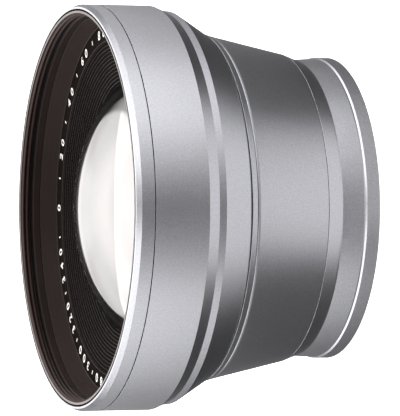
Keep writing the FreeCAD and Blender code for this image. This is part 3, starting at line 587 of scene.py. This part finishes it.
def mount_ring():
    """Rear ring: silver outside, black inside, with the mount thread and four screw seats."""
    b = Builder()
    low, high = 0.045, 5.00

    def mouth(z):
        return np.where(np.asarray(z) < 0.50, 24.60 - np.asarray(z), 0.0)

    bottom, top = thread(b, low, high, 24.10, 24.50, mouth, 1)
    section = [(20.05, 5.00), (19.90, 5.00, 0.08), (19.90, 9.51, 0.1), (26.80, 9.51),
               (26.80, 9.46), (27.05, 9.46, 0.03), (26.06, 6.90, 0.06), (25.99, 6.60, 0.05), (26.21, 2.80, 0.03),
               (26.17, 2.59, 0.02), (26.41, 2.31, 0.03), (26.41, 0.12, 0.05), (26.29, 0.0, 0.04),
               (24.60, 0.0, 0.06), (float(mouth(low)), low)]
    rows = section_rows(section, closed=False)

    def slot(r, z, n):
        # slot 2, the chamfer near the rear end, takes the dimmed silver: painted shade over its bright line
        if 2.30 < z < 2.60 and r > 26.0 and n[1] > 0.3:
            return 2
        return 1 if (r < 24.63 and z < 9.4) or (z < 0.6 and n[0] < -0.3) or (r < 27.0 and z > 9.45) else 0

    rings = b.rows(rows, slot, closed=False, last=bottom)
    down = (0.0, 0.0, -1.0)
    rim = b.ring(23.98, 5.00)
    b.strip(top, rim, (0.0, -1.0), (0.0, -1.0), 1)
    inner = rings[0]
    around = 2 * math.pi * np.arange(56) / 56
    cos, sin = np.cos(around), np.sin(around)
    centres = [(22.0 * math.cos(math.radians(45 + 90 * q)), 22.0 * math.sin(math.radians(45 + 90 * q)))
               for q in range(4)]
    holes = [b.ring(1.80, 5.00, cos, sin, c) for c in centres]
    flat = np.concatenate([rim, inner] + holes)
    places = [Vector((x, y)) for x, y, _ in b.v[flat]]
    loops, at = [], 0
    for size in [AROUND, AROUND] + [56] * 4:
        loops += [(at + i, at + (i + 1) % size) for i in range(size)]
        at += size
    got = delaunay_2d_cdt(places, loops, [], 0, 1e-5)
    spot = [int(flat[origin[0]]) if origin else int(b.points([(p.x, p.y, 5.00)])[0])
            for p, origin in zip(got[0], got[3])]
    kept = []
    for tri in got[2]:
        mid = sum((got[0][i] for i in tri), Vector((0, 0))) / 3
        if 20.05 * 0.9999 < mid.length < 23.98 and \
                all((mid - Vector(c)).length > 1.795 for c in centres):
            kept.append([spot[i] for i in tri])
    b.faces(kept, np.broadcast_to(down, (len(kept), 3, 3)), 1)
    for c, edge in zip(centres, holes):
        previous, last_r, last_z = edge, 1.80, 5.00
        for r, z in ((1.74, 5.05), (1.02, 6.05), (1.02, 7.2)):
            row = b.ring(r, z, cos, sin, c)
            n = unit(np.array((-(z - last_z), r - last_r)))
            b.strip(previous, row, n, n, 1, cos, sin)
            previous, last_r, last_z = row, r, z
        b.cap(previous, 7.2, down, 1, c)
    return stand_for(b.make("mount_ring", [SILVER, BLACK, LINE_PAINTED_SHADE]), "silver_anodised", "rear_mount_ring")


def name_ring():
    """Black ring: inner wall, flat annulus and the ribbed cone down to the glass."""
    b = Builder()
    section = [(33.40, 42.44, 0.08), (32.98, 42.44, 0.05), (32.25, 39.55, 0.12), (29.05, 39.55, 0.05),
               (28.85, 39.33, 0.04)]
    for i in range(13):
        r, z = 28.85 - 0.5654 * i, 39.33 - 0.1808 * i
        if i:
            section.append((r, z, 0.06))
        section.append((r - 0.30 * 0.5654, z - 0.36, 0.02))
    section += [(21.50, 36.98, 0.04), (21.50, 36.18, 0.04), (28.45, 38.40, 0.1), (33.40, 38.40, 0.1)]

    def slot(r, z, n):
        if r > 32.15 or z < 38.9 - (29.0 - r) * 0.3198 - 0.55:
            return 0
        # the flat annulus takes the darker black of slot 1: painted shade
        if r > 29.09:
            return 1
        # the middle of the chamfer takes the darker black of slot 3: painted shade
        if 28.90 < r < 29.0:
            return 3
        # height over the roots of the ribs: the upper part of each rib takes the lighter black, a painted highlight
        # along the crest, and the rest the darker black, painted shade
        over = z - (39.33 - (28.85 - r) * 0.3198)
        return 2 if over > -0.035 else 3

    b.rows(section_rows(section, steps=2), slot)
    return stand_for(b.make("name_ring", [BLACK, FLAT_PAINTED_SHADE, RIB_PAINTED_HIGHLIGHT, RIB_PAINTED_SHADE]), "black_anodised",
                     "front_name_ring")


def arc_rows(vertex, curve, reach, up, outward, count, from_axis=True):
    """Rows of a spherical glass surface, from near the axis to the radius reach."""
    centre = vertex - curve if up else vertex + curve
    side = 1.0 if up else -1.0
    rows = []
    for i in range(1, count + 1):
        r = reach * i / count
        z = centre + side * math.sqrt(curve * curve - r * r)
        n = unit(np.array((r, z - centre))) * (side if outward == up else -side)
        if (n[1] > 0) != outward:
            n = -n
        rows.append((r, z, n, n))
    return rows if from_axis else rows[::-1]


def lens_piece(name, rear, front, edge, glass, slot_name, *stands):
    """A glass piece: rear and front are (vertex, curve, reach, bulges up), edge the ground rim."""
    b = Builder()
    back = arc_rows(*rear, False, 44)
    fore = arc_rows(*front, True, 64)
    rings = [b.ring(r, z) for r, z, _, _ in back]
    for i in range(len(back) - 1):
        b.strip(rings[i], rings[i + 1], back[i][3], back[i + 1][2], 0)
    b.cap(rings[0], rear[0], (0.0, 0.0, -1.0), 0)
    tops = [b.ring(r, z) for r, z, _, _ in fore]
    for i in range(len(fore) - 1):
        b.strip(tops[i], tops[i + 1], fore[i][3], fore[i + 1][2], 0)
    b.cap(tops[0], front[0], (0.0, 0.0, 1.0), 0)
    path = [(back[-1][0], back[-1][1])] + edge + [(fore[-1][0], fore[-1][1])]
    rows = section_rows([(r, z, 0.02) for r, z in path], closed=False, steps=2)
    # the ground rim turns anticlockwise in (r, z), so its outward side is to the right
    rows = [(r, z, n0, n1) for r, z, n0, n1 in rows]
    if rows[0][2][0] < 0:
        rows = [(r, z, -n0, -n1) for r, z, n0, n1 in rows]
    bevel = fore[-1][1] - 0.36

    def slot(r, z, n):
        return 0 if z > bevel and n[1] > 0.2 else 1

    b.rows(rows, slot, closed=False, first=rings[-1], last=tops[-1])
    ob = b.make(name, [glass, EDGE])
    return stand_for(ob, slot_name, *stands)


front_ring()
thread_sleeve()
main_barrel()
rear_barrel()
mount_ring()
name_ring()
# The two front elements are cemented, so light meets no surface between them.
front_doublet = lens_piece("front_doublet", (30.80, 200.0, 22.80, False), (44.70, 35.0, 21.0, True),
           [(22.80, 35.27), (21.30, 35.27), (21.30, 37.35)], FRONT_GLASS, "coated_glass",
           "front_lens_element", "second_lens_element")
rear_glass = lens_piece("rear_glass", (8.90, 95.0, 15.60, True), (12.70, 65.0, 16.95, True),
           [(16.95, 7.61)], REAR_GLASS, "coated_glass", "rear_lens_element")


# ---------------------------------------------------------------------------
# Plain numerals round the flat of the name ring, a scale of degrees
# ---------------------------------------------------------------------------

def numerals():
    level, middle, height = 39.55, 30.72, 1.62
    glyphs = {}
    verts, faces = [], []

    def glyph(text):
        if text not in glyphs:
            curve = bpy.data.curves.new("glyph", "FONT")
            curve.body = text
            curve.size = 1.0
            curve.resolution_u = 6
            curve.offset = 0.012
            curve.align_x = "CENTER"
            temp = bpy.data.objects.new("glyph", curve)
            bpy.context.scene.collection.objects.link(temp)
            bpy.context.view_layer.update()
            mesh = temp.to_mesh()
            co = [(v.co.x, v.co.y) for v in mesh.vertices]
            poly = [tuple(p.vertices) for p in mesh.polygons]
            temp.to_mesh_clear()
            bpy.data.objects.remove(temp)
            bpy.data.curves.remove(curve)
            glyphs[text] = (co, poly)
        return glyphs[text]

    def lay(co, poly, angle, scale, low):
        """Glyph points with up away from the axis and right clockwise, seen from the front."""
        base = len(verts)
        outward = Vector((math.cos(angle), math.sin(angle)))
        right = Vector((math.sin(angle), -math.cos(angle)))
        for x, y in co:
            p = outward * (middle + (y * scale - low)) + right * (x * scale * 1.12)
            verts.append((p.x * MM, p.y * MM, (level + 0.006) * MM))
        for f in poly:
            faces.append([base + i for i in f])

    sample, _ = glyph("8")
    tall = max(y for _, y in sample) - min(y for _, y in sample)
    foot = min(y for _, y in sample)
    scale = height / tall
    low = height / 2 + foot * scale
    step = math.radians(4.9)
    for i in range(18):
        middle_angle = math.radians(180 - 20 * i)
        text = str(20 * i)
        for k, c in enumerate(text):
            co, poly = glyph(c)
            lay(co, poly, middle_angle - (k - (len(text) - 1) / 2) * step, scale, low)
        tick = middle_angle - math.radians(10)
        w, h = 0.12, 0.75
        lay([(-w, 0), (w, 0), (w, h), (-w, h)], [(0, 1, 2, 3)], tick, 1.0, h / 2)
    mesh = bpy.data.meshes.new("ring_numerals")
    mesh.from_pydata(verts, [], faces)
    mesh.materials.append(PAINT)
    mesh.update()
    ob = bpy.data.objects.new("ring_numerals", mesh)
    bpy.context.scene.collection.objects.link(ob)
    thick = ob.modifiers.new("ink", "SOLIDIFY")
    thick.thickness = 0.012 * MM
    thick.offset = 0.0
    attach(ob, "root")
    return ob


numerals()


# ---------------------------------------------------------------------------
# The CAD nodes that stay
# ---------------------------------------------------------------------------

def dress(name, material):
    ob = nodes[name]
    ob.data.materials.clear()
    ob.data.materials.append(material)
    for p in ob.data.polygons:
        p.material_index = 0


dress("front_cell", BLACK)
dress("front_retaining_ring", BLACK)
dress("light_baffle_tube", MATT)
dress("rear_cell", BLACK)
dress("rear_cell_shim", BRASS)
dress("third_lens_element", INNER_GLASS)
dress("rear_spacer_ring", MATT)
dress("rear_retaining_ring", BLACK)
dress("front_cell_screws", SCREW)
dress("rear_cell_screws", SCREW)
dress("mount_ring_screws", SCREW)


# ---------------------------------------------------------------------------
# Floor, light and camera
# ---------------------------------------------------------------------------

def floor():
    mesh = bpy.data.meshes.new("floor")
    s = 4.0
    mesh.from_pydata([(-s, -s, -0.00002), (s, -s, -0.00002), (s, s, -0.00002), (-s, s, -0.00002)], [],
                     [(0, 1, 2, 3)])
    k = Nodes("floor_pale")
    k.set(Metallic=0.0, Roughness=0.9)
    soft = k.noise(9.0, 2.0, 0.5)
    k.to("Base Color", k.colours(soft, [(0.3, (0.885, 0.885, 0.885)), (0.7, (0.90, 0.90, 0.90))]))
    k.set(Specular_IOR_Level=0.0, Emission_Strength=0.45)
    k.set(Emission_Color=(1.0, 1.0, 1.0, 1.0))
    mesh.materials.append(k.material)
    ob = bpy.data.objects.new("floor", mesh)
    bpy.context.scene.collection.objects.link(ob)
    ob.visible_glossy = False
    ob.visible_shadow = False


class Light:
    """Short calls for a light's node tree: values by direction, in degrees."""

    def __init__(self, tree):
        self.tree = tree
        self.azimuth = None

    def put(self, socket, x):
        if isinstance(x, (int, float)):
            socket.default_value = x
        else:
            self.tree.links.new(x, socket)

    def op(self, kind, a, b=0.0):
        m = self.tree.nodes.new("ShaderNodeMath")
        m.operation = kind
        self.put(m.inputs[0], a)
        self.put(m.inputs[1], b)
        return m.outputs[0]

    def vector(self, kind, a, b=None):
        m = self.tree.nodes.new("ShaderNodeVectorMath")
        m.operation = kind
        self.tree.links.new(a, m.inputs[0])
        if b is not None:
            m.inputs[1].default_value = b
        return m.outputs["Value"] if kind in ("DOT_PRODUCT", "LENGTH") else m.outputs["Vector"]

    def step(self, value, edge, soft):
        """0 below edge - soft, 1 above edge + soft, smooth between."""
        m = self.tree.nodes.new("ShaderNodeMapRange")
        m.interpolation_type = "SMOOTHSTEP"
        self.put(m.inputs["Value"], value)
        fixed = isinstance(edge, (int, float))
        self.put(m.inputs["From Min"], edge - soft if fixed else self.op("SUBTRACT", edge, soft))
        self.put(m.inputs["From Max"], edge + soft if fixed else self.op("ADD", edge, soft))
        return m.outputs["Result"]

    def less(self, x):
        return self.op("SUBTRACT", 1.0, x)

    def times(self, *xs):
        total = xs[0]
        for x in xs[1:]:
            total = self.op("MULTIPLY", total, x)
        return total

    def degrees(self, x):
        return self.op("MULTIPLY", x, 180.0 / math.pi)

    def along(self, stops):
        """A value given at a few azimuths, joined by straight lines."""
        ramp = self.tree.nodes.new("ShaderNodeValToRGB")
        band = ramp.color_ramp
        top = max(value for _, value in stops)
        while len(band.elements) < len(stops):
            band.elements.new(0.5)
        for e, (at, value) in zip(band.elements, stops):
            e.position = (at + 180.0) / 360.0
            e.color = (value / top, value / top, value / top, 1.0)
        self.tree.links.new(self.op("DIVIDE", self.op("ADD", self.azimuth, 180.0), 360.0),
                            ramp.inputs["Fac"])
        return self.op("MULTIPLY", ramp.outputs["Color"], top)


def world():
    """The room above: an overhead light whose lower edge comes down towards the sides, with a
    dark gap over the camera, a small bright spot beside it and a low bright patch behind."""
    w = bpy.data.worlds.new("studio")
    bpy.context.scene.world = w
    w.use_nodes = True
    t = w.node_tree
    k = Light(t)
    coord = t.nodes.new("ShaderNodeTexCoord").outputs["Generated"]
    parts = t.nodes.new("ShaderNodeSeparateXYZ")
    t.links.new(coord, parts.inputs[0])
    elevation = k.degrees(k.op("ARCSINE", parts.outputs["Z"]))
    k.azimuth = k.degrees(k.op("ARCTAN2", parts.outputs["Y"], parts.outputs["X"]))
    over = k.times(k.step(elevation, k.along(OVERHEAD_EDGE), OVER_SOFT), k.along(OVERHEAD))
    side = k.op("ABSOLUTE", k.op("SUBTRACT", k.azimuth, GAP_MIDDLE))
    gap = k.times(k.less(k.step(side, GAP_HALF, GAP_SOFT)), k.less(k.step(elevation, GAP_TOP[0], GAP_TOP[1])))
    aim = (math.cos(SPOT_AT[1]) * math.cos(SPOT_AT[0]), math.cos(SPOT_AT[1]) * math.sin(SPOT_AT[0]),
           math.sin(SPOT_AT[1]))
    off = k.degrees(k.op("ARCCOSINE", k.op("MINIMUM", k.vector("DOT_PRODUCT", coord, aim), 1.0)))
    spot = k.times(k.less(k.step(off, SPOT_SIZE, SPOT_SOFT)), SPOT)
    behind = k.less(k.step(k.op("SUBTRACT", 180.0, k.op("ABSOLUTE", k.azimuth)), PATCH_HALF, 4.0))
    patch = k.times(behind, k.step(elevation, PATCH_FOOT, 5.0), k.less(k.step(elevation, PATCH_HEAD, 10.0)), PATCH)
    total = k.op("ADD", k.op("ADD", k.times(over, k.less(gap)), spot), k.op("ADD", patch, 0.03))
    path = t.nodes.new("ShaderNodeLightPath")
    seen, inside = path.outputs["Is Camera Ray"], path.outputs["Is Transmission Ray"]
    shown = k.op("ADD", k.times(total, k.less(seen), k.less(inside)),
                 k.op("ADD", k.times(seen, 0.93), k.times(inside, THROUGH)))
    t.links.new(shown, t.nodes["Background"].inputs["Strength"])
    t.nodes["Background"].inputs["Color"].default_value = (1.0, 1.0, 1.0, 1.0)


def glow(name, verts, faces, strength, colour=(1.0, 1.0, 1.0)):
    """A shining screen that only reflections see; what is behind it shows through it."""
    mesh = bpy.data.meshes.new(name)
    mesh.from_pydata(verts, [], faces)
    material = bpy.data.materials.new(name)
    material.use_nodes = True
    t = material.node_tree
    for n in list(t.nodes):
        t.nodes.remove(n)
    out = t.nodes.new("ShaderNodeOutputMaterial")
    light = t.nodes.new("ShaderNodeEmission")
    light.inputs["Color"].default_value = (*colour, 1.0)
    clear = t.nodes.new("ShaderNodeBsdfTransparent")
    both = t.nodes.new("ShaderNodeAddShader")
    t.links.new(strength(t), light.inputs["Strength"])
    t.links.new(light.outputs[0], both.inputs[0])
    t.links.new(clear.outputs[0], both.inputs[1])
    t.links.new(both.outputs[0], out.inputs["Surface"])
    mesh.materials.append(material)
    ob = bpy.data.objects.new(name, mesh)
    bpy.context.scene.collection.objects.link(ob)
    ob.visible_camera = False
    ob.visible_diffuse = False
    ob.visible_shadow = False
    ob.visible_transmission = False
    return ob


def table_screen():
    """The table's light, close round the object: a thin line at its height and the top below."""
    radius, top, bottom, count = 0.20, 0.11, -1.9, 96
    verts = [(radius * math.cos(2 * math.pi * i / count), radius * math.sin(2 * math.pi * i / count), z)
             for z in (bottom, top) for i in range(count)]
    faces = [(i, (i + 1) % count, count + (i + 1) % count, count + i) for i in range(count)]
    faces.append(tuple(range(count)))

    def strength(t):
        k = Light(t)
        parts = t.nodes.new("ShaderNodeSeparateXYZ")
        t.links.new(t.nodes.new("ShaderNodeTexCoord").outputs["Object"], parts.inputs[0])
        k.azimuth = k.degrees(k.op("ARCTAN2", parts.outputs["Y"], parts.outputs["X"]))
        level = k.degrees(k.op("ARCTANGENT", k.op("DIVIDE", k.op("SUBTRACT", parts.outputs["Z"], 0.038),
                                                  0.166)))
        line = k.times(k.step(level, LINE_FOOT[0], LINE_FOOT[1]),
                       k.less(k.step(level, LINE_HEAD[0], LINE_HEAD[1])), k.along(LINE))
        table = k.times(k.step(k.op("MULTIPLY", level, -1.0), k.along(TABLE_EDGE), TABLE_SOFT), TABLE)
        return k.op("ADD", line, table)

    return glow("table_screen", verts, faces, strength)


def glass_screen():
    """A card and a bright tent behind and above, seen only in the glass."""
    radius, rows, count = 1.5, 24, 96
    verts, faces = [], []
    for j in range(rows):
        e = math.radians(89.9 * j / (rows - 1))
        verts += [(radius * math.cos(e) * math.cos(2 * math.pi * i / count),
                   radius * math.cos(e) * math.sin(2 * math.pi * i / count),
                   radius * math.sin(e)) for i in range(count)]
    for j in range(rows - 1):
        faces += [(j * count + i, j * count + (i + 1) % count,
                   (j + 1) * count + (i + 1) % count, (j + 1) * count + i) for i in range(count)]

    def strength(t):
        k = Light(t)
        place = k.vector("NORMALIZE", t.nodes.new("ShaderNodeTexCoord").outputs["Object"])
        parts = t.nodes.new("ShaderNodeSeparateXYZ")
        t.links.new(place, parts.inputs[0])
        x, y, z = parts.outputs
        elevation = k.degrees(k.op("ARCSINE", z))
        away = k.degrees(k.op("ARCTAN2", k.op("ABSOLUTE", y), k.op("MULTIPLY", x, -1.0)))
        back = k.op("MAXIMUM", k.op("MULTIPLY", x, -1.0), 0.02)
        u = k.op("DIVIDE", k.op("DIVIDE", y, back), CARD_HALF[0])
        v = k.op("DIVIDE", k.op("MAXIMUM", k.op("SUBTRACT", k.op("DIVIDE", z, back), 0.75), 0.0), CARD_HALF[1])
        q = k.op("SQRT", k.op("ADD", k.op("MULTIPLY", u, u), k.op("MULTIPLY", v, v)))
        outside = k.step(q, 1.0, 0.02)
        card = k.op("ADD", CARD[0], k.times(k.step(elevation, 41.0, 13.0), CARD[1]))
        tent = k.op("ADD", k.op("ADD", TENT[0], k.times(k.step(elevation, 40.0, 10.0), TENT[1])),
                    k.times(k.step(elevation, 65.0, 10.0), TENT[2]))
        front = k.less(k.step(x, -0.20, 0.06))
        left = k.step(y, 0.0, 0.01)
        bend = [k.op("ADD", foot, k.op("MULTIPLY", k.op("MAXIMUM", k.op("SUBTRACT", away, start), 0.0), slope))
                for foot, start, slope in LOW_EDGE]
        low = k.step(elevation, k.op("ADD", k.times(left, bend[0]), k.times(k.less(left), bend[1])), 1.5)
        both = k.op("ADD", k.times(outside, tent), k.times(k.less(outside), card))
        return k.times(both, front, low)

    ob = glow("glass_screen", verts, faces, strength, (1.03, 0.985, 0.965))
    ob.location = (0.0, 0.0, 0.04)
    only = bpy.data.collections.new("glass_only")
    for piece in (front_doublet, rear_glass, nodes["third_lens_element"]):
        only.objects.link(piece)
    ob.light_linking.receiver_collection = only


# azimuth in degrees from the camera side towards +Y, and elevation in degrees or light
OVERHEAD_EDGE = [(-180, 26.0), (-120, 12.3), (-90, 19.6), (-60, 25.7), (-30, 30.2), (0, 29.8), (30, 29.7), (60, 26.5),
                 (90, 20.3), (120, 14.8), (180, 26.0)]
OVERHEAD = [(-180, 3.43), (-150, 3.32), (-60, 3.31), (60, 3.62), (150, 3.54), (180, 3.43)]
OVER_SOFT = 11.7
GAP_MIDDLE, GAP_HALF, GAP_SOFT, GAP_TOP = 2.7, 12.75, 7.8, (89.0, 3.1)
SPOT, SPOT_AT, SPOT_SIZE, SPOT_SOFT = 0.79, (math.radians(-2.05), math.radians(-1.94)), 2.9, 4.36
LINE = [(-180, 0.18), (-120, 0.58), (-95, 1.01), (-70, 1.50), (-45, 1.56), (-22, 0.68), (0, 0.0), (12, 0.44),
        (22, 0.98), (45, 1.97), (70, 1.85), (95, 1.04), (120, 0.80), (180, 0.21)]
LINE_FOOT, LINE_HEAD = (-21.9, 20.0), (1.14, 11.0)
TABLE_EDGE = [(-180, 69.3), (-100, 71.8), (-60, 66.5), (-25, 43.3), (0, 30.7), (25, 38.0), (60, 47.5), (100, 68.5),
              (180, 65.4)]
TABLE, TABLE_SOFT = 0.83, 11.2
PATCH, PATCH_HALF, PATCH_FOOT, PATCH_HEAD = 1.1, 9.0, 9.0, 32.0
CARD, TENT, THROUGH = (2.3, 6.2), (6.0, 6.0, 3.0), 0.03
CARD_HALF = (0.58, 0.82)
LOW_EDGE = [(9.0, 14.5, 1.13), (8.5, 17.0, 0.95)]

floor()
world()
table_screen()
glass_screen()

camera = bpy.data.objects.new("camera", bpy.data.cameras.new("camera"))
bpy.context.scene.collection.objects.link(camera)
camera.data.sensor_width = 36.0
camera.data.lens = 310.29
camera.data.shift_y = -0.00055
camera.data.clip_start = 0.02
camera.data.clip_end = 30.0
camera.matrix_world = Matrix((
    (0.32569, 0.0, 0.94548, 0.59028),
    (0.0, 1.0, 0.0, 0.0),
    (-0.94548, 0.0, 0.32569, 0.22654),
    (0.0, 0.0, 0.0, 1.0)))
bpy.context.scene.camera = camera

view = bpy.context.scene.view_settings
view.view_transform = "Standard"
view.look = "None"
view.exposure = 0.0
view.gamma = 1.0
